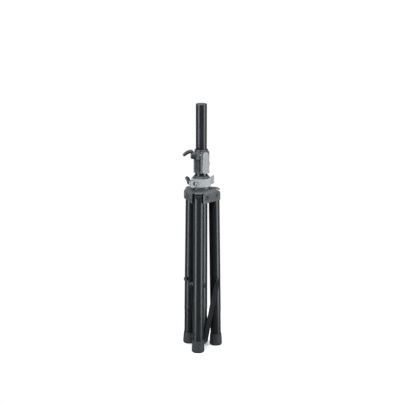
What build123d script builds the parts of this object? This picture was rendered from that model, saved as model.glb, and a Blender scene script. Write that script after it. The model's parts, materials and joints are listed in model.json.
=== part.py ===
"""Folding speaker tripod stand, shown folded, with the pole pushed home.

Millimetres, +Z up.  The origin is on the floor, on the mast's axis.  Leg 1 points along -Y.
"""
import os
from math import asin, atan2, cos, degrees, hypot, radians, sin, sqrt

from build123d import *

# ---------------------------------------------------------------- driving dimensions
# fits, radial unless said otherwise
fixed_fit = 0.05
running_fit = 0.06
face_gap = 0.3
slot_gap = 0.5

# pole
pole_diameter = 35.0
pole_wall = 2.0
stand_height = 810.0
pole_bottom = 92.0
cap_thickness = 4.0
cap_spigot = 16.0
cap_spigot_wall = 2.5
cap_edge = 1.6
depth_mark_bottom = 670.0
depth_mark_height = 1.5
depth_mark_depth = 0.5
bush_flange = 12.0
bush_spigot = 24.0
bush_bore_radius = 10.0

# mast
mast_diameter = 40.0
mast_wall = 1.5
mast_bottom = 46.0
mast_top = 628.0

# clamp head at the top of the mast
head_bottom = 590.0
head_top = 664.5
head_wall = 2.0
head_skirt_wall = 1.6
head_skirt_height = 22.0
head_angle = -84.0
slit_width = 2.6
slit_bottom = 636.0
ear_width = 11.5
ear_bottom = 638.0
ear_top = 662.0
ear_past_screw = 8.5
ear_root = 15.0
sleeve_step = 0.94
sleeve_length = 34.0
pad_turn = 28.0
pad_stand_off = 13.0
pad_half_width = 12.5
plate_height = 70.0
plate_top_radius = 9.6
plate_bottom_radius = 11.8
plate_thickness = 1.6
plate_middle = 626.0
boss_width = 22.0
boss_stand_off = 6.0
boss_root = 5.0
boss_lift = 4.0
boss_top = 636.0
boss_ring_radius = 8.0
fixing_bolt_radius = 3.0
fixing_bolt_height = 618.0
fixing_bolt_hex = 5.5
fixing_bolt_head = 4.0
boss_disc_radius = 3.0
boss_ring_width = 2.0
boss_ring_proud = 0.8
boss_corner = 5.0
web_lift = 3.0
web_root = 8.0
pad_edge = 0.6
head_edge = 1.5

# height screw and its lever
height_screw_radius = 4.0
height_screw_stand_off = 9.5
height_screw_engagement = 6.0
height_screw_level = 650.0
lever_hub_radius = 12.5
lever_hub_length = 18.0
lever_rise = 18.0
lever_root = 24.0
lever_reach = 56.0
lever_thickness = 11.0
lever_width = 15.0
lever_cap = 4.0

# leg collar
leg_count = 3
first_leg_angle = -90.0
leg_pivot_radius = 43.5
leg_pivot_height = 516.0
collar_below_pivot = 17.0
collar_above_pivot = 21.0
collar_corner_radius = 23.5
collar_shoulder = 17.0
neck_wall = 8.5
neck_above_pivot = 64.0
neck_cone = 8.0
neck_slit = 3.0
socket_gap = 0.5
liner_lift = 10.0
liner_wall = 2.0
lip_height = 15.0
pivot_bolt_radius = 4.0
pivot_head_radius = 6.5
pivot_head_height = 4.0
cheek_half_width = 22.0
pivot_socket_radius = 3.4
pivot_socket_depth = 2.5
slit_overrun = 4.0

# ring clamp and its wing knob
ring_above_pivot = 30.0
ring_height = 26.0
ring_wall = 3.0
ring_ear_angle = -126.0
ring_ear_past_screw = 7.0
ring_ear_half_width = 9.0
ring_lug_angle = 24.0
ring_lug_stand_off = 9.45
ring_lug_width = 9.0
ring_lug_rise = 6.0
ring_screw_radius = 3.0
ring_screw_stand_off = 6.95
ring_screw_above_pivot = 44.0
ring_edge = 0.8
ring_nut_radius = 5.6
ring_nut_height = 5.0
knob_hub_radius = 7.0
knob_hub_edge = 1.2
knob_end = 19.0
knob_arm_root = 14.5
knob_arm_start = 12.0
knob_arm_half_width = 6.0
knob_arm_foot = 2.0
knob_arm_rise = 17.3
knob_tip_inner = 25.0
knob_tip_outer = 28.5
knob_cap = 3.0
knob_gap = 0.7

# legs
leg_diameter = 35.0
leg_wall = 1.6
leg_splay = 1.0
leg_head_gap = 10.0
leg_insert_length = 36.0
leg_knuckle_radius = 16.2
leg_knuckle_room = 2.0
foot_height = 38.5
foot_top_radius = 19.3
foot_bottom_radius = 20.9
foot_floor = 8.0
foot_edge = 5.0
foot_lip = 0.8

# braces and the hub that they hang from
brace_pin_down_leg = 289.0
brace_pin_radius = 4.0
brace_room = 1.2
brace_thickness = 3.0
brace_width = 17.0
brace_head_radius = 6.8
brace_head_height = 4.6
brace_washer_radius = 8.2
brace_edge = 0.5
bolt_head_edge = 1.4
bolt_socket_radius = 3.0
bolt_socket_depth = 2.2
hub_pin_height = 31.0
hub_pin_reach = 8.0
hub_wall = 2.0
hub_bottom = 17.0
hub_spigot = 30.0
hub_boss_half_width = 9.5
hub_boss_height = 26.0
hub_boss_depth = 12.0
hub_boss_corner = 4.0
hub_bore_radius = 8.0
hub_bolt_engagement = 10.0
end_cap_bottom = 11.0
end_cap_edge = 4.0
end_cap_spigot = 12.0
rivet_radius = 2.4
rivet_head_radius = 4.0
rivet_level = 61.0
rivet_length = 7.0
rivet_head_height = 1.3
open_lean = 80.0

# ---------------------------------------------------------------- worked-out sizes
pole_radius = pole_diameter / 2
pole_bore = pole_radius - pole_wall
mast_radius = mast_diameter / 2
mast_bore = mast_radius - mast_wall
leg_radius = leg_diameter / 2
leg_bore = leg_radius - leg_wall
sleeve_inner = pole_radius + running_fit
sleeve_outer = mast_radius - sleeve_step
sleeve_top = mast_top + sleeve_length
liner_inner = mast_radius + running_fit
liner_outer = liner_inner + liner_wall
head_radius = mast_radius + head_wall
head_skirt_radius = head_radius + head_skirt_wall
height_screw_reach = head_radius + height_screw_stand_off
ear_reach = height_screw_reach + ear_past_screw
pad_distance = head_radius + pad_stand_off
boss_depth = head_radius + boss_stand_off
collar_bottom = leg_pivot_height - collar_below_pivot
collar_top = leg_pivot_height + collar_above_pivot
neck_radius = mast_radius + neck_wall
neck_top = leg_pivot_height + neck_above_pivot
liner_bottom = collar_bottom + liner_lift
ring_bottom = leg_pivot_height + ring_above_pivot
ring_screw_level = leg_pivot_height + ring_screw_above_pivot
ring_inner = neck_radius + fixed_fit
ring_outer = ring_inner + ring_wall
ring_screw_reach = ring_outer + ring_screw_stand_off
ring_ear_reach = ring_screw_reach + ring_ear_past_screw
ring_lug_reach = ring_outer + ring_lug_stand_off
hub_radius = mast_radius + hub_wall
brace_plane = max(mast_radius, leg_radius) + brace_room
leg_angles = [first_leg_angle + 360 / leg_count * index for index in range(leg_count)]
brace_outer = brace_plane + brace_thickness


def direction(angle):
    """Level unit vector at an angle, anticlockwise from +X as seen from above."""
    return Vector(cos(radians(angle)), sin(radians(angle)), 0)


def radial_plane(angle):
    """Upright plane through the mast's axis: x runs outward, y runs up, z runs along the leg's pivot."""
    return Plane(origin=(0, 0, 0), x_dir=direction(angle), z_dir=direction(angle - 90))


def turned_plane(angle, height=0.0):
    """Level plane whose x runs outward at an angle."""
    return Plane(origin=(0, 0, height), x_dir=direction(angle), z_dir=(0, 0, 1))


def leg_plane(angle, along=0.0):
    """Plane square to a leg, its origin on the leg's axis, so far up from the pivot; x runs outward."""
    outward = direction(angle)
    upward = Vector(0, 0, 1) * cos(radians(leg_splay)) - outward * sin(radians(leg_splay))
    across = outward * cos(radians(leg_splay)) + Vector(0, 0, 1) * sin(radians(leg_splay))
    pivot = outward * leg_pivot_radius + Vector(0, 0, leg_pivot_height)
    return Plane(origin=pivot + upward * along, x_dir=across, z_dir=upward)


def leg_side_plane(angle, along=0.0, sideways=0.0):
    """Plane of the leg's swing: x runs outward, y runs up the leg, z runs to the brace's side."""
    square = leg_plane(angle, along)
    side = square.x_dir.cross(square.z_dir)
    return Plane(origin=square.origin + side * sideways, x_dir=square.x_dir, z_dir=side)


def export(builder, name):
    """Labels a finished piece and writes it to its own file."""
    builder.part.label = name
    export_step(builder.part, f"parts/{name}.step")


def round_bar(plane, radius, length):
    """A plain cylinder that starts on a plane and grows along its normal."""
    with BuildPart(mode=Mode.PRIVATE) as bar:
        with BuildSketch(plane):
            Circle(radius)
        extrude(amount=length)
    return bar.part


os.makedirs("parts", exist_ok=True)

# ---------------------------------------------------------------- brace geometry
leg_down = Vector(sin(radians(leg_splay)), -cos(radians(leg_splay)))
brace_top_radial = leg_pivot_radius + brace_pin_down_leg * leg_down.X
brace_top_height = leg_pivot_height + brace_pin_down_leg * leg_down.Y
brace_length = hypot(brace_top_radial - hub_pin_reach, brace_top_height - hub_pin_height)
brace_lean = degrees(atan2(brace_top_radial - hub_pin_reach, brace_top_height - hub_pin_height))

# ---------------------------------------------------------------- pole
with BuildPart() as pole_tube:
    with BuildSketch(Plane.XY.offset(pole_bottom + face_gap)):
        Circle(pole_radius)
        Circle(pole_bore, mode=Mode.SUBTRACT)
    extrude(amount=stand_height - cap_thickness - pole_bottom - face_gap)
    # shallow groove that marks how far a loudspeaker's socket comes down
    with BuildSketch(Plane.XY.offset(depth_mark_bottom)):
        Circle(pole_radius)
        Circle(pole_radius - depth_mark_depth, mode=Mode.SUBTRACT)
    extrude(amount=depth_mark_height, mode=Mode.SUBTRACT)
export(pole_tube, "pole_tube")

with BuildPart() as pole_top_cap:
    with BuildSketch(Plane.XY.offset(stand_height - cap_thickness)):
        Circle(pole_radius)
    extrude(amount=cap_thickness)
    fillet(pole_top_cap.edges().sort_by(Axis.Z)[-1], cap_edge)
    with BuildSketch(Plane.XY.offset(stand_height - cap_thickness - cap_spigot)):
        Circle(pole_bore - fixed_fit)
        Circle(pole_bore - cap_spigot_wall, mode=Mode.SUBTRACT)
    extrude(amount=cap_spigot)
export(pole_top_cap, "pole_top_cap")

# The bush guides the pole's foot in the mast, and is what the pole turns on.
with BuildPart() as pole_guide_bush:
    with BuildSketch(Plane.XY.offset(pole_bottom - bush_flange)):
        Circle(mast_bore - running_fit)
    extrude(amount=bush_flange)
    with BuildSketch(Plane.XY.offset(pole_bottom)):
        Circle(pole_bore - running_fit)
    extrude(amount=bush_spigot)
    chamfer(pole_guide_bush.edges().group_by(Axis.Z)[-1], head_edge)
    with BuildSketch(Plane.XY.offset(pole_bottom - bush_flange)):
        Circle(bush_bore_radius)
    extrude(amount=bush_flange + bush_spigot, mode=Mode.SUBTRACT)
export(pole_guide_bush, "pole_guide_bush")

# ---------------------------------------------------------------- mast
head_plane = Plane(origin=(0, 0, 0), x_dir=direction(head_angle + 90), z_dir=(0, 0, 1))
fixing_axis = Plane(
    origin=head_plane.from_local_coords((mast_bore + fixed_fit, 0, fixing_bolt_height)),
    z_dir=head_plane.x_dir,
)
rivet_planes = [
    Plane(
        origin=direction(angle) * (mast_radius - rivet_length) + Vector(0, 0, rivet_level),
        z_dir=direction(angle),
    )
    for angle in leg_angles
]

with BuildPart() as mast_tube:
    with BuildSketch(Plane.XY.offset(mast_bottom)):
        Circle(mast_radius)
        Circle(mast_bore, mode=Mode.SUBTRACT)
    extrude(amount=mast_top - mast_bottom)
    add(
        round_bar(fixing_axis.offset(-mast_wall), fixing_bolt_radius + fixed_fit, 3 * mast_wall),
        mode=Mode.SUBTRACT,
    )
    for plane in rivet_planes:
        add(round_bar(plane, rivet_radius + fixed_fit, 2 * rivet_length), mode=Mode.SUBTRACT)
export(mast_tube, "mast_tube")

# ---------------------------------------------------------------- clamp head
pad_normal = Vector(sin(radians(pad_turn)), -cos(radians(pad_turn)))
pad_along = Vector(cos(radians(pad_turn)), sin(radians(pad_turn)))
pad_near = pad_normal * pad_distance - pad_along * pad_half_width
pad_far = pad_normal * pad_distance + pad_along * pad_half_width
screw_plane = Plane(
    origin=head_plane.from_local_coords((0, -height_screw_reach, height_screw_level)),
    z_dir=head_plane.x_dir * -1,
)

with BuildPart() as clamp_head:
    with BuildSketch(Plane.XY.offset(head_bottom)):
        Circle(head_radius)
    extrude(amount=head_top - head_bottom)
    chamfer(clamp_head.edges().sort_by(Axis.Z)[-1], head_edge)
    with BuildSketch(Plane.XY.offset(head_bottom)):
        Circle(head_skirt_radius)
    extrude(amount=head_skirt_height, taper=2)
    with BuildSketch(head_plane.offset(head_bottom + web_lift)):
        with BuildLine():
            Polyline(
                (slit_width / 2, -web_root),
                (slit_width / 2, -ear_reach),
                (pad_near.X, pad_near.Y),
                (pad_far.X, pad_far.Y),
                (pad_far.X - 6, -web_root),
                close=True,
            )
        make_face()
    extrude(amount=ear_top - head_bottom - web_lift)
    with BuildSketch(head_plane.offset(ear_bottom)):
        with Locations((-(slit_width + ear_width) / 2, -(ear_reach + ear_root) / 2)):
            RectangleRounded(ear_width, ear_reach - ear_root, 2.5)
    extrude(amount=ear_top - ear_bottom)
    with BuildSketch(head_plane.offset(head_bottom + boss_lift)):
        with Locations((-boss_width / 2 - 0.5, -(boss_depth + boss_root) / 2)):
            RectangleRounded(boss_width, boss_depth - boss_root, boss_corner)
    extrude(amount=boss_top - head_bottom - boss_lift)
    with BuildSketch(Plane.XY.offset(head_bottom)):
        Circle(mast_radius + fixed_fit)
    extrude(amount=mast_top - head_bottom, mode=Mode.SUBTRACT)
    with BuildSketch(Plane.XY.offset(mast_top)):
        Circle(sleeve_outer + fixed_fit)
    extrude(amount=head_top - mast_top, mode=Mode.SUBTRACT)
    with BuildSketch(head_plane.offset(slit_bottom)):
        with Locations((0, -ear_reach / 2 - web_root)):
            Rectangle(slit_width, ear_reach)
    extrude(amount=head_top - slit_bottom, mode=Mode.SUBTRACT)
    screw_hole = screw_plane.offset(-height_screw_engagement - slot_gap)
    add(
        round_bar(screw_hole, height_screw_radius + running_fit, ear_reach),
        mode=Mode.SUBTRACT,
    )
    add(round_bar(fixing_axis, fixing_bolt_radius + fixed_fit, head_radius), mode=Mode.SUBTRACT)
    # raised ring and disc cast into the lower boss
    boss_face = Plane(
        origin=head_plane.from_local_coords(
            (-boss_width / 2 - 0.5, -boss_depth, (head_bottom + boss_lift + boss_top) / 2)
        ),
        x_dir=head_plane.x_dir,
        z_dir=head_plane.y_dir * -1,
    )
    with BuildSketch(boss_face.offset(-1)):
        Circle(boss_ring_radius)
        Circle(boss_ring_radius - boss_ring_width, mode=Mode.SUBTRACT)
        Circle(boss_disc_radius)
    extrude(amount=1 + boss_ring_proud)
export(clamp_head, "clamp_head")

with BuildPart() as pole_bearing_sleeve:
    with BuildSketch(Plane.XY.offset(mast_top)):
        Circle(sleeve_outer)
        Circle(sleeve_inner, mode=Mode.SUBTRACT)
    extrude(amount=sleeve_length)
    with BuildSketch(head_plane.offset(slit_bottom)):
        with Locations((0, -sleeve_outer)):
            Rectangle(slit_width, 8)
    extrude(amount=sleeve_top - slit_bottom, mode=Mode.SUBTRACT)
export(pole_bearing_sleeve, "pole_bearing_sleeve")

# The blank plate is a long rounded shape, a little wider at the bottom.
plate_origin = head_plane.from_local_coords(
    (pad_normal.X * pad_distance, pad_normal.Y * pad_distance, plate_middle)
)
plate_plane = Plane(
    origin=plate_origin,
    x_dir=direction(head_angle + 90 + pad_turn),
    z_dir=direction(head_angle + pad_turn),
)
plate_span = plate_height / 2
with BuildPart() as clamp_head_plate:
    with BuildSketch(plate_plane):
        with Locations((0, plate_span - plate_top_radius)):
            Circle(plate_top_radius)
        with Locations((0, plate_bottom_radius - plate_span)):
            Circle(plate_bottom_radius)
        make_hull()
    extrude(amount=plate_thickness)
    fillet(clamp_head_plate.faces().filter_by(plate_plane).sort_by(SortBy.DISTANCE)[-1].edges(), pad_edge)
export(clamp_head_plate, "clamp_head_plate")

with BuildPart() as head_fixing_bolt:
    add(round_bar(fixing_axis, fixing_bolt_radius, head_radius - mast_bore))
    with BuildSketch(fixing_axis.offset(head_radius - mast_bore - fixed_fit)):
        RegularPolygon(fixing_bolt_hex, 6)
    extrude(amount=fixing_bolt_head)
export(head_fixing_bolt, "head_fixing_bolt")

# ---------------------------------------------------------------- height screw and lever
screw_start = slit_width / 2 + ear_width
with BuildPart() as height_knob_screw:
    with BuildSketch(screw_plane.offset(-height_screw_engagement)):
        Circle(height_screw_radius)
    extrude(amount=height_screw_engagement + screw_start + lever_hub_length - lever_cap)
    chamfer(height_knob_screw.edges().sort_by(Axis(screw_plane.origin, screw_plane.z_dir))[0], 0.8)
export(height_knob_screw, "height_knob_screw")

lever_side = Plane(origin=screw_plane.origin, x_dir=screw_plane.z_dir, z_dir=head_plane.y_dir)
hub_start = screw_start + face_gap
hub_end = hub_start + lever_hub_length
with BuildPart() as height_knob:
    with BuildSketch(screw_plane.offset(hub_start)):
        Circle(lever_hub_radius)
    extrude(amount=lever_hub_length)
    chamfer(height_knob.edges().sort_by(Axis(screw_plane.origin, screw_plane.z_dir))[-1], 2)
    # arched lever: leaves the hub's top, runs outward and droops to a rounded tip
    with BuildSketch(lever_side.offset(-lever_width / 2)):
        with BuildLine():
            top = ThreePointArc(
                (lever_root, lever_rise - 2),
                (lever_root + 10, lever_rise),
                (lever_reach - 6, lever_rise - 11),
            )
            tip = ThreePointArc(
                top @ 1,
                (lever_reach, lever_rise - 18),
                (lever_reach - 7, lever_rise - 10 - lever_thickness),
            )
            under = ThreePointArc(
                tip @ 1,
                (lever_root + 14, lever_rise - lever_thickness - 3),
                (hub_end, -2),
            )
            Line(under @ 1, (lever_root, -2))
            Line((lever_root, -2), top @ 0)
        make_face()
    extrude(amount=lever_width)
    add(round_bar(screw_plane, height_screw_radius + fixed_fit, hub_end - lever_cap), mode=Mode.SUBTRACT)
export(height_knob, "height_knob")

# ---------------------------------------------------------------- leg collar
slot_half_width = leg_radius + slot_gap
cavity_radius = leg_radius + slot_gap + 0.2
knuckle_cavity = leg_knuckle_radius + leg_knuckle_room
pivot_holes = pivot_bolt_radius + fixed_fit

with BuildPart() as leg_collar:
    with BuildSketch(Plane.XY.offset(collar_bottom)):
        with PolarLocations(leg_pivot_radius, leg_count, start_angle=first_leg_angle):
            Circle(collar_corner_radius)
        make_hull()
    extrude(amount=collar_top - collar_bottom)
    fillet(leg_collar.edges().group_by(Axis.Z)[-1], collar_shoulder)
    with BuildSketch(Plane.XY.offset(collar_top - 4)):
        Circle(neck_radius)
    extrude(amount=neck_top - collar_top + 4)
    chamfer(leg_collar.edges().sort_by(Axis.Z)[-1], neck_cone, neck_cone - 2.5)
    # a slot for each leg, open outward and downward below the lip
    for angle in leg_angles:
        with BuildSketch(radial_plane(angle)):
            with Locations((leg_pivot_radius, leg_pivot_height)):
                Circle(knuckle_cavity)
                Rectangle(2 * cavity_radius, 40, align=(Align.CENTER, Align.MAX))
                Rectangle(40, lip_height + 30, align=(Align.MIN, Align.MAX))
            with Locations((leg_pivot_radius, leg_pivot_height + lip_height)):
                Rectangle(40, 30, align=(Align.MIN, Align.MAX))
        extrude(amount=slot_half_width, both=True, mode=Mode.SUBTRACT)
        pivot = radial_plane(angle).offset(-40)
        pivot = Plane(
            origin=pivot.from_local_coords((leg_pivot_radius, leg_pivot_height, 0)),
            x_dir=pivot.x_dir,
            z_dir=pivot.z_dir,
        )
        add(round_bar(pivot, pivot_holes, 80), mode=Mode.SUBTRACT)
        for start in (0, 40 + cheek_half_width):
            add(
                round_bar(pivot.offset(start), pivot_head_radius + socket_gap, 40 - cheek_half_width),
                mode=Mode.SUBTRACT,
            )
    with BuildSketch(Plane.XY.offset(collar_bottom)):
        Circle(liner_outer + fixed_fit)
    extrude(amount=neck_top - collar_bottom, mode=Mode.SUBTRACT)
    with BuildSketch(turned_plane(ring_ear_angle, ring_bottom - slit_overrun)):
        with Locations((neck_radius, 0)):
            Rectangle(20, neck_slit)
    extrude(amount=neck_top - ring_bottom + slit_overrun, mode=Mode.SUBTRACT)
export(leg_collar, "leg_collar")

with BuildPart() as collar_liner:
    with BuildSketch(Plane.XY.offset(liner_bottom)):
        Circle(liner_outer)
        Circle(liner_inner, mode=Mode.SUBTRACT)
    extrude(amount=neck_top - liner_bottom)
    with BuildSketch(turned_plane(ring_ear_angle, ring_bottom - slit_overrun)):
        with Locations((liner_outer, 0)):
            Rectangle(8, neck_slit)
    extrude(amount=neck_top - ring_bottom + slit_overrun, mode=Mode.SUBTRACT)
export(collar_liner, "collar_liner")

pivot_planes = [
    Plane(
        origin=radial_plane(angle).from_local_coords((leg_pivot_radius, leg_pivot_height, 0)),
        x_dir=direction(angle),
        z_dir=direction(angle - 90),
    )
    for angle in leg_angles
]
with BuildPart() as leg_pivot_bolts:
    for plane in pivot_planes:
        start = plane.offset(-cheek_half_width - pivot_head_height)
        add(round_bar(start, pivot_bolt_radius, 2 * cheek_half_width + pivot_head_height + 0.5))
        with BuildSketch(plane.offset(cheek_half_width)):
            Circle(pivot_head_radius)
        extrude(amount=pivot_head_height)
        with BuildSketch(plane.offset(cheek_half_width + pivot_head_height)):
            RegularPolygon(pivot_socket_radius, 6)
        extrude(amount=-pivot_socket_depth, mode=Mode.SUBTRACT)
export(leg_pivot_bolts, "leg_pivot_bolts")

with BuildPart() as leg_pivot_nuts:
    for plane in pivot_planes:
        with BuildSketch(plane.offset(-cheek_half_width)):
            RegularPolygon(pivot_head_radius, 6)
            Circle(pivot_holes, mode=Mode.SUBTRACT)
        extrude(amount=-pivot_head_height)
export(leg_pivot_nuts, "leg_pivot_nuts")

# ---------------------------------------------------------------- ring clamp and wing knob
ring_screw_plane = Plane(
    origin=turned_plane(ring_ear_angle).from_local_coords((ring_screw_reach, 0, ring_screw_level)),
    x_dir=(0, 0, 1),
    z_dir=direction(ring_ear_angle - 90),
)
with BuildPart() as collar_clamp_ring:
    with BuildSketch(Plane.XY.offset(ring_bottom)):
        Circle(ring_outer)
    extrude(amount=ring_height)
    chamfer(collar_clamp_ring.edges(), ring_edge)
    with BuildSketch(turned_plane(ring_ear_angle, ring_bottom + 1)):
        with Locations(((ring_ear_reach + neck_radius) / 2, 0)):
            RectangleRounded(ring_ear_reach - neck_radius, 2 * ring_ear_half_width, 2)
    extrude(amount=ring_height - 8)
    # upright lug with a slanted top, opposite the ears
    with BuildSketch(radial_plane(ring_lug_angle).offset(-ring_lug_width / 2)):
        with BuildLine():
            Polyline(
                (ring_inner + 1, ring_bottom + 4),
                (ring_lug_reach - 3, ring_bottom + 4),
                (ring_lug_reach, ring_bottom + 8),
                (ring_lug_reach, ring_bottom + ring_height + ring_lug_rise),
                (ring_inner + 1, ring_bottom + ring_height - 1),
                close=True,
            )
        make_face()
    extrude(amount=ring_lug_width)
    with BuildSketch(Plane.XY.offset(ring_bottom)):
        Circle(ring_inner)
    extrude(amount=ring_height + ring_lug_rise, mode=Mode.SUBTRACT)
    with BuildSketch(turned_plane(ring_ear_angle, ring_bottom)):
        with Locations((neck_radius + 9, 0)):
            Rectangle(24, neck_slit)
    extrude(amount=ring_height, mode=Mode.SUBTRACT)
    add(round_bar(ring_screw_plane.offset(-20), ring_screw_radius + running_fit, 40), mode=Mode.SUBTRACT)
export(collar_clamp_ring, "collar_clamp_ring")

with BuildPart() as collar_clamp_nut:
    with BuildSketch(ring_screw_plane.offset(-ring_ear_half_width)):
        RegularPolygon(ring_nut_radius, 6)
        Circle(ring_screw_radius + running_fit, mode=Mode.SUBTRACT)
    extrude(amount=-ring_nut_height)
export(collar_clamp_nut, "collar_clamp_nut")

with BuildPart() as collar_knob_screw:
    screw_tail = ring_ear_half_width + ring_nut_height + 2
    with BuildSketch(ring_screw_plane.offset(-screw_tail)):
        Circle(ring_screw_radius)
    extrude(amount=screw_tail + knob_end - knob_cap)
export(collar_knob_screw, "collar_knob_screw")

knob_side = Plane(
    origin=ring_screw_plane.origin,
    x_dir=ring_screw_plane.z_dir,
    z_dir=direction(ring_ear_angle - 180),
)
with BuildPart() as collar_knob:
    with BuildSketch(ring_screw_plane.offset(ring_ear_half_width + knob_gap)):
        Circle(knob_hub_radius)
    extrude(amount=knob_end - ring_ear_half_width - knob_gap)
    chamfer(collar_knob.edges().filter_by(GeomType.CIRCLE), knob_hub_edge)
    # one arm, up and leaning away from the ring so that it passes the ring when it turns
    with BuildSketch(knob_side.offset(-knob_arm_half_width)):
        with BuildLine():
            Polyline(
                (knob_arm_start, -knob_arm_foot),
                (knob_arm_start, knob_arm_foot),
                (knob_arm_root, knob_hub_radius - 1),
                (knob_tip_inner, knob_arm_rise),
                (knob_tip_outer - 1, knob_arm_rise),
                (knob_tip_outer, knob_arm_rise - 3),
                (knob_end + 1, knob_arm_foot),
                (knob_end, -knob_arm_foot),
                close=True,
            )
        make_face()
    extrude(amount=2 * knob_arm_half_width)
    add(
        round_bar(ring_screw_plane, ring_screw_radius + fixed_fit, knob_end - knob_cap),
        mode=Mode.SUBTRACT,
    )
export(collar_knob, "collar_knob")

# ---------------------------------------------------------------- legs
leg_length = (leg_pivot_height + foot_bottom_radius * sin(radians(leg_splay))) / cos(radians(leg_splay))


def make_leg_tube(angle):
    """Round tube from just below the pivot to just above the floor."""
    with BuildPart() as tube:
        with BuildSketch(leg_plane(angle, -leg_head_gap)):
            Circle(leg_radius)
            Circle(leg_bore, mode=Mode.SUBTRACT)
        extrude(amount=-(leg_length - leg_head_gap - foot_floor))
        add(
            round_bar(
                leg_side_plane(angle, -brace_pin_down_leg, -30), brace_pin_radius + fixed_fit, 60
            ),
            mode=Mode.SUBTRACT,
        )
    return tube


def make_leg_head(angle):
    """Plug in the tube's top with a half-round head that turns on the pivot bolt."""
    head_round = leg_radius - 0.2
    side = leg_side_plane(angle)
    with BuildPart(mode=Mode.PRIVATE) as outline:
        with BuildSketch(side.offset(-leg_radius)):
            Circle(leg_knuckle_radius)
            with Locations((0, -leg_head_gap)):
                Rectangle(2 * head_round + 1, 0.5, align=(Align.CENTER, Align.MAX))
            make_hull()
        extrude(amount=2 * leg_radius)
    with BuildPart() as head:
        with BuildSketch(leg_plane(angle, -leg_head_gap)):
            Circle(head_round)
        extrude(amount=2 * leg_radius)
        add(outline.part, mode=Mode.INTERSECT)
        with BuildSketch(leg_plane(angle, -leg_head_gap)):
            Circle(leg_bore - fixed_fit)
        extrude(amount=-leg_insert_length)
        add(
            round_bar(side.offset(-30), pivot_bolt_radius + running_fit, 60),
            mode=Mode.SUBTRACT,
        )
    return head


def make_foot(angle):
    """Flared rubber boot, trimmed level with the floor."""
    with BuildPart() as foot:
        with BuildSketch(leg_side_plane(angle, -leg_length)):
            with BuildLine():
                bottom = Line((0, -1), (foot_bottom_radius - foot_edge, -1))
                edge = ThreePointArc(
                    bottom @ 1,
                    (foot_bottom_radius - foot_edge * (1 - sqrt(0.5)), foot_edge * (1 - sqrt(0.5))),
                    (foot_bottom_radius, foot_edge),
                )
                side = Line(edge @ 1, (foot_top_radius, foot_height - 1))
                Polyline(
                    side @ 1,
                    (foot_top_radius - foot_lip, foot_height),
                    (leg_radius + fixed_fit, foot_height),
                    (leg_radius + fixed_fit, foot_floor),
                    (0, foot_floor),
                    bottom @ 0,
                )
            make_face()
        revolve(axis=Axis(leg_plane(angle).origin, leg_plane(angle).z_dir))
        split(bisect_by=Plane.XY, keep=Keep.TOP)
    return foot


def make_brace_bolt(angle):
    """Cross bolt through the leg; its plain end stops just short of the brace."""
    side = leg_side_plane(angle, -brace_pin_down_leg)
    with BuildPart() as bolt:
        with BuildSketch(side.offset(-leg_radius - 6)):
            Circle(brace_head_radius)
        extrude(amount=12)
        add(
            round_bar(leg_plane(angle, -brace_pin_down_leg - 20), leg_radius + fixed_fit, 40),
            mode=Mode.SUBTRACT,
        )
        add(round_bar(side.offset(-leg_radius - 2), brace_pin_radius, leg_radius + brace_plane + 1.6))
    return bolt


def make_brace_washer(angle):
    """Saddle washer between the leg's round side and the flat brace."""
    side = leg_side_plane(angle, -brace_pin_down_leg)
    with BuildPart() as washer:
        with BuildSketch(side.offset(leg_radius - 4)):
            Circle(brace_washer_radius)
            Circle(brace_pin_radius + fixed_fit, mode=Mode.SUBTRACT)
        extrude(amount=brace_plane - face_gap - leg_radius + 4)
        add(
            round_bar(leg_plane(angle, -brace_pin_down_leg - 20), leg_radius + fixed_fit, 40),
            mode=Mode.SUBTRACT,
        )
    return washer


def brace_pin_plane(angle, top):
    """Plane on the brace's inner face, its origin on the top or bottom pin."""
    place = (brace_top_radial, brace_top_height) if top else (hub_pin_reach, hub_pin_height)
    plane = radial_plane(angle)
    return Plane(
        origin=plane.from_local_coords((*place, brace_plane)),
        x_dir=plane.x_dir,
        z_dir=plane.z_dir,
    )


def make_brace_strap(angle):
    """Flat strap with round ends, from the hub's pin up to the leg's bolt."""
    low = brace_pin_plane(angle, False)
    lean = radians(brace_lean)
    leaned = Plane(origin=low.origin, x_dir=low.x_dir * sin(lean) + low.y_dir * cos(lean), z_dir=low.z_dir)
    with BuildPart() as strap:
        with BuildSketch(leaned):
            with Locations((brace_length / 2, 0)):
                SlotCenterToCenter(brace_length, brace_width)
            with Locations((0, 0), (brace_length, 0)):
                Circle(brace_pin_radius + running_fit, mode=Mode.SUBTRACT)
        extrude(amount=brace_thickness)
        outer_face = strap.faces().sort_by(Axis(low.origin, low.z_dir))[-1]
        chamfer(outer_face.outer_wire().edges(), brace_edge)
    return strap


def make_brace_top_bolt(angle):
    """Button head that holds the strap's top end."""
    top = brace_pin_plane(angle, True)
    with BuildPart() as bolt:
        with BuildSketch(top.offset(0.1)):
            Circle(brace_pin_radius)
        extrude(amount=brace_thickness)
        with BuildSketch(top.offset(brace_thickness)):
            Circle(brace_head_radius)
        extrude(amount=brace_head_height)
        rims = bolt.edges().filter_by(GeomType.CIRCLE).sort_by(Axis(top.origin, top.z_dir))
        fillet(rims[-1], bolt_head_edge)
        with BuildSketch(top.offset(brace_thickness + brace_head_height)):
            RegularPolygon(bolt_socket_radius, 6)
        extrude(amount=-bolt_socket_depth, mode=Mode.SUBTRACT)
    return bolt


leg_pieces = {
    "leg_tube": make_leg_tube,
    "leg_head": make_leg_head,
    "leg_foot": make_foot,
    "leg_brace_bolt": make_brace_bolt,
    "leg_brace_washer": make_brace_washer,
    "brace_strap": make_brace_strap,
    "brace_top_bolt": make_brace_top_bolt,
}
for number, angle in enumerate(leg_angles, start=1):
    for name, make in leg_pieces.items():
        export(make(angle), f"{name}_{number}")

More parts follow.
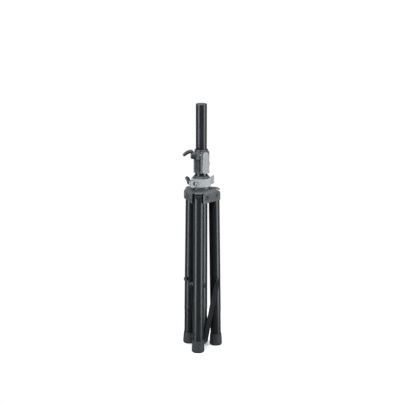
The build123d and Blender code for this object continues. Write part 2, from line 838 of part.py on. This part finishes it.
# ---------------------------------------------------------------- hub at the mast's foot
hub_height = mast_bottom - hub_bottom
hub_boss_outer = brace_plane - face_gap
with BuildPart() as mast_hub:
    with BuildSketch(Plane.XY.offset(hub_bottom)):
        Circle(hub_radius)
    extrude(amount=hub_height)
    # flats for the braces
    for angle in leg_angles:
        with BuildSketch(radial_plane(angle).offset(hub_boss_outer)):
            with Locations((0, hub_bottom - 1)):
                Rectangle(80, hub_height + 2, align=(Align.CENTER, Align.MIN))
        extrude(amount=20, mode=Mode.SUBTRACT)
    # bosses that carry the brace pins, a little outward of the mast's axis
    for angle in leg_angles:
        with BuildSketch(radial_plane(angle).offset(hub_boss_outer - hub_boss_depth)):
            with Locations((hub_pin_reach, hub_pin_height)):
                RectangleRounded(2 * hub_boss_half_width, hub_boss_height, hub_boss_corner)
        extrude(amount=hub_boss_depth)
    for angle in leg_angles:
        pin = brace_pin_plane(angle, False)
        pin_hole = pin.offset(-hub_bolt_engagement - slot_gap)
        add(round_bar(pin_hole, brace_pin_radius + fixed_fit, hub_boss_depth), mode=Mode.SUBTRACT)
    with BuildSketch(Plane.XY.offset(mast_bottom)):
        Circle(mast_bore - fixed_fit)
    extrude(amount=hub_spigot)
    with BuildSketch(Plane.XY.offset(hub_bottom)):
        Circle(hub_bore_radius)
    extrude(amount=hub_height + hub_spigot, mode=Mode.SUBTRACT)
    for plane in rivet_planes:
        add(round_bar(plane, rivet_radius + fixed_fit, 2 * rivet_length), mode=Mode.SUBTRACT)
export(mast_hub, "mast_hub")

with BuildPart() as mast_end_cap:
    with BuildSketch(Plane.XY.offset(end_cap_bottom)):
        Circle(hub_radius - 1)
    extrude(amount=hub_bottom - end_cap_bottom)
    fillet(mast_end_cap.edges().sort_by(Axis.Z)[0], end_cap_edge)
    with BuildSketch(Plane.XY.offset(hub_bottom)):
        Circle(hub_bore_radius - fixed_fit)
    extrude(amount=end_cap_spigot)
export(mast_end_cap, "mast_end_cap")

with BuildPart() as hub_bolts:
    for angle in leg_angles:
        pin = brace_pin_plane(angle, False)
        shank = hub_bolt_engagement + brace_thickness + face_gap
        add(round_bar(pin.offset(-hub_bolt_engagement), brace_pin_radius, shank))
        with BuildSketch(pin.offset(brace_thickness + face_gap)):
            Circle(brace_head_radius)
        extrude(amount=brace_head_height)
        with BuildSketch(pin.offset(brace_thickness + face_gap + brace_head_height)):
            RegularPolygon(bolt_socket_radius, 6)
        extrude(amount=-bolt_socket_depth, mode=Mode.SUBTRACT)
export(hub_bolts, "hub_bolts")

with BuildPart() as hub_rivets:
    for plane in rivet_planes:
        with BuildSketch(plane.offset(rivet_length - 1)):
            Circle(rivet_head_radius)
        extrude(amount=1 + rivet_head_height)
    # the heads are hollow underneath, to sit on the round mast
    add(round_bar(Plane.XY.offset(rivet_level - 10), mast_radius, 20), mode=Mode.SUBTRACT)
    for plane in rivet_planes:
        add(round_bar(plane.offset(slot_gap), rivet_radius, rivet_length))
export(hub_rivets, "hub_rivets")

# ---------------------------------------------------------------- motion, for the record
open_radial = hub_pin_reach + brace_length * sin(radians(open_lean))
open_swing = degrees(asin((open_radial - leg_pivot_radius) / brace_pin_down_leg)) - leg_splay
open_drop = leg_pivot_height - (
    hub_pin_height
    + brace_length * cos(radians(open_lean))
    + brace_pin_down_leg * cos(radians(open_swing + leg_splay))
)
print(f"collar drop {open_drop:.2f} mm, leg swing {open_swing:.3f}, brace swing {open_lean - brace_lean:.3f}")
for number, angle in enumerate(leg_angles, start=1):
    low = brace_pin_plane(angle, False).origin
    pivot = leg_plane(angle).origin
    print(f"leg {number} pivot {pivot}, brace pin {low}, axis {radial_plane(angle).z_dir}")
print(f"height screw {screw_plane.origin} {screw_plane.z_dir}")
print(f"ring screw {ring_screw_plane.origin} {ring_screw_plane.z_dir}")
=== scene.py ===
"""Looks for a folded speaker tripod stand.

Black powder-coated tube, satin painted castings, a bare aluminium ring and rubber feet.
The values of the finishes and of the lights were set one by one, not measured.
"""
import json
import math

import bmesh
import bpy
from mathutils import Matrix, Vector


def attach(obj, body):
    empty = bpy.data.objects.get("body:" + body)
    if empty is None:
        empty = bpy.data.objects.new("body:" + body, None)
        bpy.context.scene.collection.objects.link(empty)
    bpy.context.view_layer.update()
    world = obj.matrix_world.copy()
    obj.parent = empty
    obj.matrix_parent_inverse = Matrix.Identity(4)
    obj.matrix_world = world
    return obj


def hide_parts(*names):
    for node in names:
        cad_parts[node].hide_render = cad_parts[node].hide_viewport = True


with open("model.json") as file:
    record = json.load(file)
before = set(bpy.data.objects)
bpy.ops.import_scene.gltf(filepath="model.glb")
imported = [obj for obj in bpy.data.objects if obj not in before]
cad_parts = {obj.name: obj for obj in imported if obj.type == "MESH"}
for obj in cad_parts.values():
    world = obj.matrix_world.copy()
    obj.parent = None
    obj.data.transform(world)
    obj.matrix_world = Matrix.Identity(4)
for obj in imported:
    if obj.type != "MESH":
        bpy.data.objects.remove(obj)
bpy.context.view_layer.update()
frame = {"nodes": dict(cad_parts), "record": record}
scene = bpy.context.scene
MM = 0.001
# nearly all of a noise texture's values lie between these two
NOISE_LOW = 0.3
NOISE_HIGH = 0.7


# ---------------------------------------------------------------- node helpers
def linear(hex_colour):
    """sRGB hex such as "c8cacb" as a linear RGBA colour."""
    channels = [int(hex_colour[i:i + 2], 16) / 255 for i in (0, 2, 4)]
    bent = [c / 12.92 if c <= 0.04045 else ((c + 0.055) / 1.055) ** 2.4 for c in channels]
    return (*bent, 1.0)


def add_node(tree, kind, settings=None, inputs=None):
    """Adds a node; settings are its properties, inputs its sockets, as values or sockets to link from."""
    node = tree.nodes.new(kind)
    for name, value in (settings or {}).items():
        setattr(node, name, value)
    for name, value in (inputs or {}).items():
        if isinstance(value, bpy.types.NodeSocket):
            tree.links.new(value, node.inputs[name])
        else:
            node.inputs[name].default_value = value
    return node


def new_material(name, colour, roughness, **sockets):
    """A material with a principled shader whose plain values are set on its own sockets."""
    material = bpy.data.materials.new(name)
    material.use_nodes = True
    material.diffuse_color = linear(colour)
    shader = material.node_tree.nodes["Principled BSDF"]
    shader.inputs["Base Color"].default_value = linear(colour)
    shader.inputs["Roughness"].default_value = roughness
    for socket, value in sockets.items():
        shader.inputs[socket.replace("_", " ")].default_value = value
    return material, material.node_tree, shader


def per_metre(size_mm):
    """Noise scale that gives features of a real size in millimetres."""
    return 1000.0 / size_mm


# ---------------------------------------------------------------- materials
def powder_coated_steel():
    """Steel tube, satin black powder coat: soft-edged highlights and a fine orange peel."""
    material, tree, shader = new_material("powder_coated_steel", "121518", 0.3, IOR=1.45)
    place = add_node(tree, "ShaderNodeTexCoord").outputs["Object"]
    peel = add_node(tree, "ShaderNodeTexNoise", inputs={
        "Vector": place, "Scale": per_metre(1.6), "Detail": 1.0})
    cloud = add_node(tree, "ShaderNodeTexNoise", inputs={
        "Vector": place, "Scale": per_metre(45), "Detail": 2.0})
    gloss = add_node(tree, "ShaderNodeMapRange", inputs={
        "Value": cloud.outputs["Fac"], "From Min": NOISE_LOW, "From Max": NOISE_HIGH,
        "To Min": 0.27, "To Max": 0.35})
    tint = add_node(tree, "ShaderNodeMix", {"data_type": "RGBA"}, {
        "Factor": cloud.outputs["Fac"], "A": linear("0f1214"), "B": linear("171b1e")})
    bump = add_node(tree, "ShaderNodeBump", inputs={
        "Height": peel.outputs["Fac"], "Strength": 0.08, "Distance": 0.03 * MM})
    tree.links.new(gloss.outputs["Result"], shader.inputs["Roughness"])
    tree.links.new(tint.outputs["Result"], shader.inputs["Base Color"])
    tree.links.new(bump.outputs["Normal"], shader.inputs["Normal"])
    return material


def painted_cast_aluminium():
    """Die-cast aluminium under satin graphite paint: a slight grain, and paler worn edges."""
    material, tree, shader = new_material("painted_cast_aluminium", "323639", 0.42, IOR=1.5)
    place = add_node(tree, "ShaderNodeTexCoord").outputs["Object"]
    grain = add_node(tree, "ShaderNodeTexNoise", inputs={
        "Vector": place, "Scale": per_metre(0.9), "Detail": 4.0})
    cloud = add_node(tree, "ShaderNodeTexNoise", inputs={
        "Vector": place, "Scale": per_metre(18), "Detail": 3.0})
    edge = add_node(tree, "ShaderNodeNewGeometry").outputs["Pointiness"]
    worn = add_node(tree, "ShaderNodeMapRange", inputs={
        "Value": edge, "From Min": 0.53, "From Max": 0.62, "To Min": 0.0, "To Max": 0.35})
    base = add_node(tree, "ShaderNodeMix", {"data_type": "RGBA"}, {
        "Factor": cloud.outputs["Fac"], "A": linear("2e3235"), "B": linear("3b3f42")})
    rubbed = add_node(tree, "ShaderNodeMix", {"data_type": "RGBA"}, {
        "Factor": worn.outputs["Result"], "A": base.outputs["Result"], "B": linear("5d6163")})
    gloss = add_node(tree, "ShaderNodeMapRange", inputs={
        "Value": cloud.outputs["Fac"], "From Min": NOISE_LOW, "From Max": NOISE_HIGH,
        "To Min": 0.38, "To Max": 0.52})
    bump = add_node(tree, "ShaderNodeBump", inputs={
        "Height": grain.outputs["Fac"], "Strength": 0.25, "Distance": 0.12 * MM})
    tree.links.new(rubbed.outputs["Result"], shader.inputs["Base Color"])
    tree.links.new(gloss.outputs["Result"], shader.inputs["Roughness"])
    tree.links.new(bump.outputs["Normal"], shader.inputs["Normal"])
    return material


def brushed_aluminium():
    """Turned and brushed aluminium: fine lines that run round the ring, under a soft even sheen.

    Bare metal is fully metallic. This one is set only partly so, and rough, because the narrow strip
    lights would otherwise burn out on it.
    """
    material, tree, shader = new_material("brushed_aluminium", "a8aaab", 0.75, Metallic=0.35)
    place = add_node(tree, "ShaderNodeTexCoord").outputs["Object"]
    # lines 0.5 mm apart, drawn a little coarser than real brushing so that they show
    squeezed = add_node(tree, "ShaderNodeMapping", inputs={"Vector": place, "Scale": (0.03, 0.03, 1.0)})
    lines = add_node(tree, "ShaderNodeTexNoise", inputs={
        "Vector": squeezed.outputs["Vector"], "Scale": per_metre(0.5), "Detail": 3.0})
    cloud = add_node(tree, "ShaderNodeTexNoise", inputs={
        "Vector": place, "Scale": per_metre(12), "Detail": 2.0})
    tint = add_node(tree, "ShaderNodeMix", {"data_type": "RGBA"}, {
        "Factor": lines.outputs["Fac"], "A": linear("838586"), "B": linear("a7a9aa")})
    gloss = add_node(tree, "ShaderNodeMapRange", inputs={
        "Value": cloud.outputs["Fac"], "From Min": NOISE_LOW, "From Max": NOISE_HIGH,
        "To Min": 0.7, "To Max": 0.8})
    bump = add_node(tree, "ShaderNodeBump", inputs={
        "Height": lines.outputs["Fac"], "Strength": 0.25, "Distance": 0.08 * MM})
    tree.links.new(tint.outputs["Result"], shader.inputs["Base Color"])
    tree.links.new(gloss.outputs["Result"], shader.inputs["Roughness"])
    tree.links.new(bump.outputs["Normal"], shader.inputs["Normal"])
    return material


def satin_silver_paint():
    """Silver lacquer on a moulded plate: a fine metallic fleck and a soft sheen."""
    material, tree, shader = new_material("satin_silver_paint", "868889", 0.5, Metallic=0.3)
    place = add_node(tree, "ShaderNodeTexCoord").outputs["Object"]
    fleck = add_node(tree, "ShaderNodeTexNoise", inputs={
        "Vector": place, "Scale": per_metre(0.4), "Detail": 2.0})
    tint = add_node(tree, "ShaderNodeMix", {"data_type": "RGBA"}, {
        "Factor": fleck.outputs["Fac"], "A": linear("7b7d7e"), "B": linear("919394")})
    bump = add_node(tree, "ShaderNodeBump", inputs={
        "Height": fleck.outputs["Fac"], "Strength": 0.1, "Distance": 0.05 * MM})
    tree.links.new(tint.outputs["Result"], shader.inputs["Base Color"])
    tree.links.new(bump.outputs["Normal"], shader.inputs["Normal"])
    return material


def moulded_rubber():
    """Black rubber from a spark-eroded mould: matt, a coarse speckle, a little dust."""
    material, tree, shader = new_material("moulded_rubber", "212427", 0.75, IOR=1.52)
    place = add_node(tree, "ShaderNodeTexCoord").outputs["Object"]
    speckle = add_node(tree, "ShaderNodeTexNoise", inputs={
        "Vector": place, "Scale": per_metre(2.2), "Detail": 5.0})
    dust = add_node(tree, "ShaderNodeTexNoise", inputs={
        "Vector": place, "Scale": per_metre(9), "Detail": 4.0})
    spread = add_node(tree, "ShaderNodeMapRange", inputs={
        "Value": dust.outputs["Fac"], "From Min": 0.35, "From Max": 0.75, "To Min": 0.0, "To Max": 0.5})
    tint = add_node(tree, "ShaderNodeMix", {"data_type": "RGBA"}, {
        "Factor": speckle.outputs["Fac"], "A": linear("14171a"), "B": linear("222628")})
    dusty = add_node(tree, "ShaderNodeMix", {"data_type": "RGBA"}, {
        "Factor": spread.outputs["Result"], "A": tint.outputs["Result"], "B": linear("2f3335")})
    bump = add_node(tree, "ShaderNodeBump", inputs={
        "Height": speckle.outputs["Fac"], "Strength": 0.5, "Distance": 0.35 * MM})
    tree.links.new(dusty.outputs["Result"], shader.inputs["Base Color"])
    tree.links.new(bump.outputs["Normal"], shader.inputs["Normal"])
    return material


def moulded_nylon(name, colour, roughness):
    """Glass-filled nylon, injection moulded: low gloss with a fine leathery grain."""
    material, tree, shader = new_material(name, colour, roughness, IOR=1.53)
    place = add_node(tree, "ShaderNodeTexCoord").outputs["Object"]
    grain = add_node(tree, "ShaderNodeTexVoronoi", inputs={"Vector": place, "Scale": per_metre(0.9)})
    cloud = add_node(tree, "ShaderNodeTexNoise", inputs={
        "Vector": place, "Scale": per_metre(14), "Detail": 3.0})
    gloss = add_node(tree, "ShaderNodeMapRange", inputs={
        "Value": cloud.outputs["Fac"], "From Min": NOISE_LOW, "From Max": NOISE_HIGH,
        "To Min": roughness - 0.06, "To Max": roughness + 0.08})
    bump = add_node(tree, "ShaderNodeBump", inputs={
        "Height": grain.outputs["Distance"], "Strength": 0.15, "Distance": 0.1 * MM})
    tree.links.new(gloss.outputs["Result"], shader.inputs["Roughness"])
    tree.links.new(bump.outputs["Normal"], shader.inputs["Normal"])
    return material


def plated_steel(name, colour, roughness, metallic=1.0):
    """Turned steel fastener, zinc plated or blackened: an even sheen with a faint cloudiness.

    The black oxide hides most of the steel, so the blackened one is only partly metallic.
    """
    material, tree, shader = new_material(name, colour, roughness, Metallic=metallic)
    place = add_node(tree, "ShaderNodeTexCoord").outputs["Object"]
    cloud = add_node(tree, "ShaderNodeTexNoise", inputs={
        "Vector": place, "Scale": per_metre(3), "Detail": 4.0})
    gloss = add_node(tree, "ShaderNodeMapRange", inputs={
        "Value": cloud.outputs["Fac"], "From Min": NOISE_LOW, "From Max": NOISE_HIGH,
        "To Min": roughness - 0.08, "To Max": roughness + 0.1})
    bump = add_node(tree, "ShaderNodeBump", inputs={
        "Height": cloud.outputs["Fac"], "Strength": 0.15, "Distance": 0.05 * MM})
    tree.links.new(gloss.outputs["Result"], shader.inputs["Roughness"])
    tree.links.new(bump.outputs["Normal"], shader.inputs["Normal"])
    return material


tube_black = powder_coated_steel()
casting = painted_cast_aluminium()
bare_ring = brushed_aluminium()
silver = satin_silver_paint()
rubber = moulded_rubber()
nylon = moulded_nylon("black_nylon", "1b1d1e", 0.5)
lever_nylon = moulded_nylon("lever_nylon", "1f2123", 0.4)
zinc = plated_steel("zinc_plated_steel", "8d9092", 0.45)
blackened = plated_steel("black_oxide_steel", "1f2225", 0.5, 0.25)

finish_of_slot = {
    "black_tube": tube_black,
    "cast_black": casting,
    "bare_aluminium": bare_ring,
    "plate_silver": silver,
    "black_rubber": rubber,
    "black_plastic": lever_nylon,
    "nylon": nylon,
    "dark_steel": blackened,
    "zinc_steel": zinc,
}


def dress(thing, material):
    """Gives an object one material, whatever it had."""
    thing.data.materials.clear()
    thing.data.materials.append(material)


for subpart in frame["record"]["subparts"]:
    dress(frame["nodes"][subpart["node"]], finish_of_slot[subpart["material_slot"]])


# ---------------------------------------------------------------- moulded grips
JOINTS = {joint["name"]: joint for joint in frame["record"]["behaviour"]["joints"]}
SMOOTH_LEVELS = 1


def screw_frame(joint_name):
    """Point and three directions of a clamping screw: along it, up, and across."""
    joint = JOINTS[joint_name]
    along = Vector(joint["axis"]).normalized()
    up = Vector((0, 0, 1))
    return Vector(joint["pos_m"]), along, up, along.cross(up)


def skin(build, rings):
    """Joins rings of points into a closed tube with both ends capped."""
    loops = [[build.verts.new(point) for point in ring] for ring in rings]
    for low, high in zip(loops, loops[1:]):
        for index in range(len(low)):
            after = (index + 1) % len(low)
            build.faces.new((low[index], low[after], high[after], high[index]))
    build.faces.new(list(reversed(loops[0])))
    build.faces.new(loops[-1])


def finished_piece(name, build, body, node, slot):
    """Turns a built mesh into a smooth piece that stands for a CAD node and moves with its body."""
    mesh = bpy.data.meshes.new(name)
    bmesh.ops.recalc_face_normals(build, faces=build.faces)
    build.to_mesh(mesh)
    build.free()
    for face in mesh.polygons:
        face.use_smooth = True
    piece = bpy.data.objects.new(name, mesh)
    scene.collection.objects.link(piece)
    rounding = piece.modifiers.new("rounding", "SUBSURF")
    rounding.levels = rounding.render_levels = SMOOTH_LEVELS
    dress(piece, finish_of_slot[slot])
    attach(piece, body)
    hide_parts(node)


def rounded_section(half_width, half_thick, points=16, squareness=2.8):
    """Points of a rounded bar's section, as (across, outward) pairs."""
    section = []
    for index in range(points):
        turn = 2 * math.pi * index / points
        c, s = math.cos(turn), math.sin(turn)
        section.append((
            half_width * math.copysign(abs(c) ** (2 / squareness), c),
            half_thick * math.copysign(abs(s) ** (2 / squareness), s),
        ))
    return section


def bar_rings(screw, line):
    """Rings of a rounded bar that runs along a line given from a screw's own point and directions."""
    place, along, up, across = screw
    rings = []
    for index, (out, rise, half_width, half_thick) in enumerate(line):
        before = line[max(index - 1, 0)]
        after = line[min(index + 1, len(line) - 1)]
        run = (along * (after[0] - before[0]) + up * (after[1] - before[1])).normalized()
        outward = across.cross(run).normalized()
        centre = place + (along * out + up * rise) * MM
        rings.append([
            centre + (across * a + outward * b) * MM
            for a, b in rounded_section(half_width, half_thick)
        ])
    return rings


def hub_rings(screw, line, flutes, points=54):
    """Rings of a turned hub on a screw, with shallow grip flutes cut along it."""
    place, along, up, across = screw
    rings = []
    for out, radius, depth in line:
        ring = []
        for index in range(points):
            turn = 2 * math.pi * index / points
            reach = radius - depth * (1 + math.cos(flutes * turn)) / 2
            ring.append(place + (along * out + (up * math.cos(turn) + across * math.sin(turn)) * reach) * MM)
        rings.append(ring)
    return rings


# arched lever, from inside the hub's top to its drooping tip:
# millimetres along the screw, up, half width, half thickness
LEVER_LINE = (
    (23.4, 7.6, 4.4, 2.4),
    (24.4, 10.0, 6.4, 4.0),
    (27.0, 12.0, 7.6, 5.6),
    (31.0, 12.6, 8.0, 6.1),
    (36.0, 11.6, 8.1, 5.9),
    (42.5, 8.4, 8.1, 5.7),
    (48.0, 4.4, 7.9, 5.6),
    (52.4, 0.2, 7.0, 5.0),
    (54.4, -2.2, 4.8, 3.2),
)
# fluted hub behind the lever: millimetres along the screw, radius, depth of the flutes
LEVER_HUB_LINE = (
    (13.2, 10.4, 0.0),
    (13.6, 11.6, 0.0),
    (15.0, 12.1, 0.3),
    (17.0, 12.3, 0.7),
    (22.0, 12.2, 0.7),
    (26.0, 11.8, 0.5),
    (29.4, 10.8, 0.2),
    (30.8, 8.8, 0.0),
    (30.8, 6.0, 0.0),
    (29.6, 5.4, 0.0),
    (29.6, 1.2, 0.0),
)
LEVER_FLUTES = 9
# the ring clamp's arm, from inside its hub to its tip, and then its hub, given in the same two ways
ARM_LINE = (
    (13.5, 0.0, 6.2, 4.0),
    (16.5, 3.2, 7.2, 4.4),
    (20.2, 7.2, 7.8, 4.2),
    (23.8, 11.0, 7.9, 3.9),
    (26.8, 14.6, 7.3, 3.5),
    (28.6, 16.8, 5.2, 2.4),
)
ARM_HUB_LINE = (
    (9.9, 6.8, 0.0),
    (10.3, 7.6, 0.0),
    (12.0, 8.0, 0.2),
    (16.0, 8.0, 0.3),
    (18.2, 7.4, 0.1),
    (19.0, 6.0, 0.0),
    (19.0, 3.8, 0.0),
    (17.6, 3.3, 0.0),
    (17.6, 0.8, 0.0),
)
ARM_FLUTES = 6


def clamp_lever():
    """Glass-filled nylon lever: a fluted hub with an arched arm that a finger pulls down."""
    screw = screw_frame("height_lever_turn")
    build = bmesh.new()
    skin(build, bar_rings(screw, LEVER_LINE))
    skin(build, hub_rings(screw, LEVER_HUB_LINE, LEVER_FLUTES))
    finished_piece("clamp_lever", build, "height_lever", "height_knob", "black_plastic")


def ring_lever():
    """Moulded knob on the ring clamp's screw: a round hub with one arm that leans away from the ring."""
    screw = screw_frame("collar_wing_turn")
    build = bmesh.new()
    skin(build, bar_rings(screw, ARM_LINE))
    skin(build, hub_rings(screw, ARM_HUB_LINE, ARM_FLUTES))
    finished_piece("ring_lever", build, "collar_wing", "collar_knob", "black_plastic")


clamp_lever()
ring_lever()

# ---------------------------------------------------------------- floor, light and camera
# lengths in metres, angles in degrees, lens and sensor in millimetres, lights in watts
FLOOR_RADIUS = 0.36
FLOOR_SIDES = 96
LIGHT_COLOUR = (0.955, 0.985, 1.0)
STRIP_DISTANCE = 0.95
STRIP_HEIGHT = 0.68
STRIP_LENGTH = 1.84
# how bright the world is to everything but the camera
UNSEEN_WORLD = 0.16
CAMERA_AZIMUTH = 11.0
CAMERA_DISTANCE = 3.2
CAMERA_HEIGHT = 1.27
AIM_HEIGHT = 0.49
AIM_SIDE = 0.004
CAMERA_ROLL = 0.1
LENS = 91.0
SENSOR_WIDTH = 36.0


def studio_floor():
    """Round pale floor that the stand is set on; past its edge the white world shows.

    It is left out of reflections, because it would put a broad pale glare on the lower tubes.
    """
    mesh = bpy.data.meshes.new("studio_floor")
    build = bmesh.new()
    bmesh.ops.create_circle(build, cap_ends=True, radius=FLOOR_RADIUS, segments=FLOOR_SIDES)
    build.to_mesh(mesh)
    build.free()
    floor = bpy.data.objects.new("studio_floor", mesh)
    scene.collection.objects.link(floor)
    dress(floor, new_material("pale_paper", "f4f4f4", 0.9)[0])
    floor.visible_glossy = False


def soft_light(name, place, target, size, watts):
    """Rectangular soft light aimed at a point; it lights and reflects, but isn't seen itself."""
    lamp = bpy.data.lights.new(name, "AREA")
    lamp.color = LIGHT_COLOUR
    lamp.shape = "RECTANGLE"
    lamp.size, lamp.size_y = size
    lamp.energy = watts
    holder = bpy.data.objects.new(name, lamp)
    holder.location = place
    holder.rotation_euler = (Vector(target) - Vector(place)).to_track_quat("-Z", "Y").to_euler()
    holder.visible_camera = False
    scene.collection.objects.link(holder)


def white_studio(unseen):
    """World that the camera sees as white, and that lights and reflects only as much as it is told."""
    world = bpy.data.worlds.new("studio")
    scene.world = world
    world.use_nodes = True
    tree = world.node_tree
    path = add_node(tree, "ShaderNodeLightPath")
    strength = add_node(tree, "ShaderNodeMix", inputs={
        "Factor": path.outputs["Is Camera Ray"], "A": unseen, "B": 1.0})
    back = tree.nodes["Background"]
    back.inputs["Color"].default_value = linear("ffffff")
    tree.links.new(strength.outputs["Result"], back.inputs["Strength"])


def around(azimuth, distance, height):
    """Point at an azimuth counted from the camera's, at a distance from the mast's axis."""
    turn = math.radians(CAMERA_AZIMUTH + azimuth)
    return Vector((distance * math.sin(turn), -distance * math.cos(turn), height))


studio_floor()
white_studio(UNSEEN_WORLD)
strip_middle = (0, 0, STRIP_HEIGHT)
strip_left = around(-57, STRIP_DISTANCE, STRIP_HEIGHT)
strip_right = around(70, STRIP_DISTANCE, STRIP_HEIGHT)
soft_light("strip_left", strip_left, strip_middle, (0.34, STRIP_LENGTH), 16)
soft_light("strip_right", strip_right, strip_middle, (0.48, STRIP_LENGTH), 16.5)
soft_light("front_fill", around(2, 1.8, 2.2), (0, 0, 0.6), (1.1, 0.8), 36)
soft_light("overhead", around(180, 0.4, 2.6), (0, 0, 0), (3.0, 3.0), 96)

lens = bpy.data.cameras.new("camera")
lens.sensor_width = SENSOR_WIDTH
lens.lens = LENS
camera = bpy.data.objects.new("camera", lens)
scene.collection.objects.link(camera)
camera.location = around(0, CAMERA_DISTANCE, CAMERA_HEIGHT)
aim = around(90, AIM_SIDE, AIM_HEIGHT)
look = (aim - camera.location).to_track_quat("-Z", "Y").to_matrix().to_4x4()
camera.matrix_world = Matrix.Translation(camera.location) @ look @ Matrix.Rotation(
    math.radians(CAMERA_ROLL), 4, "Z"
)
scene.camera = camera
scene.view_settings.view_transform = "Standard"
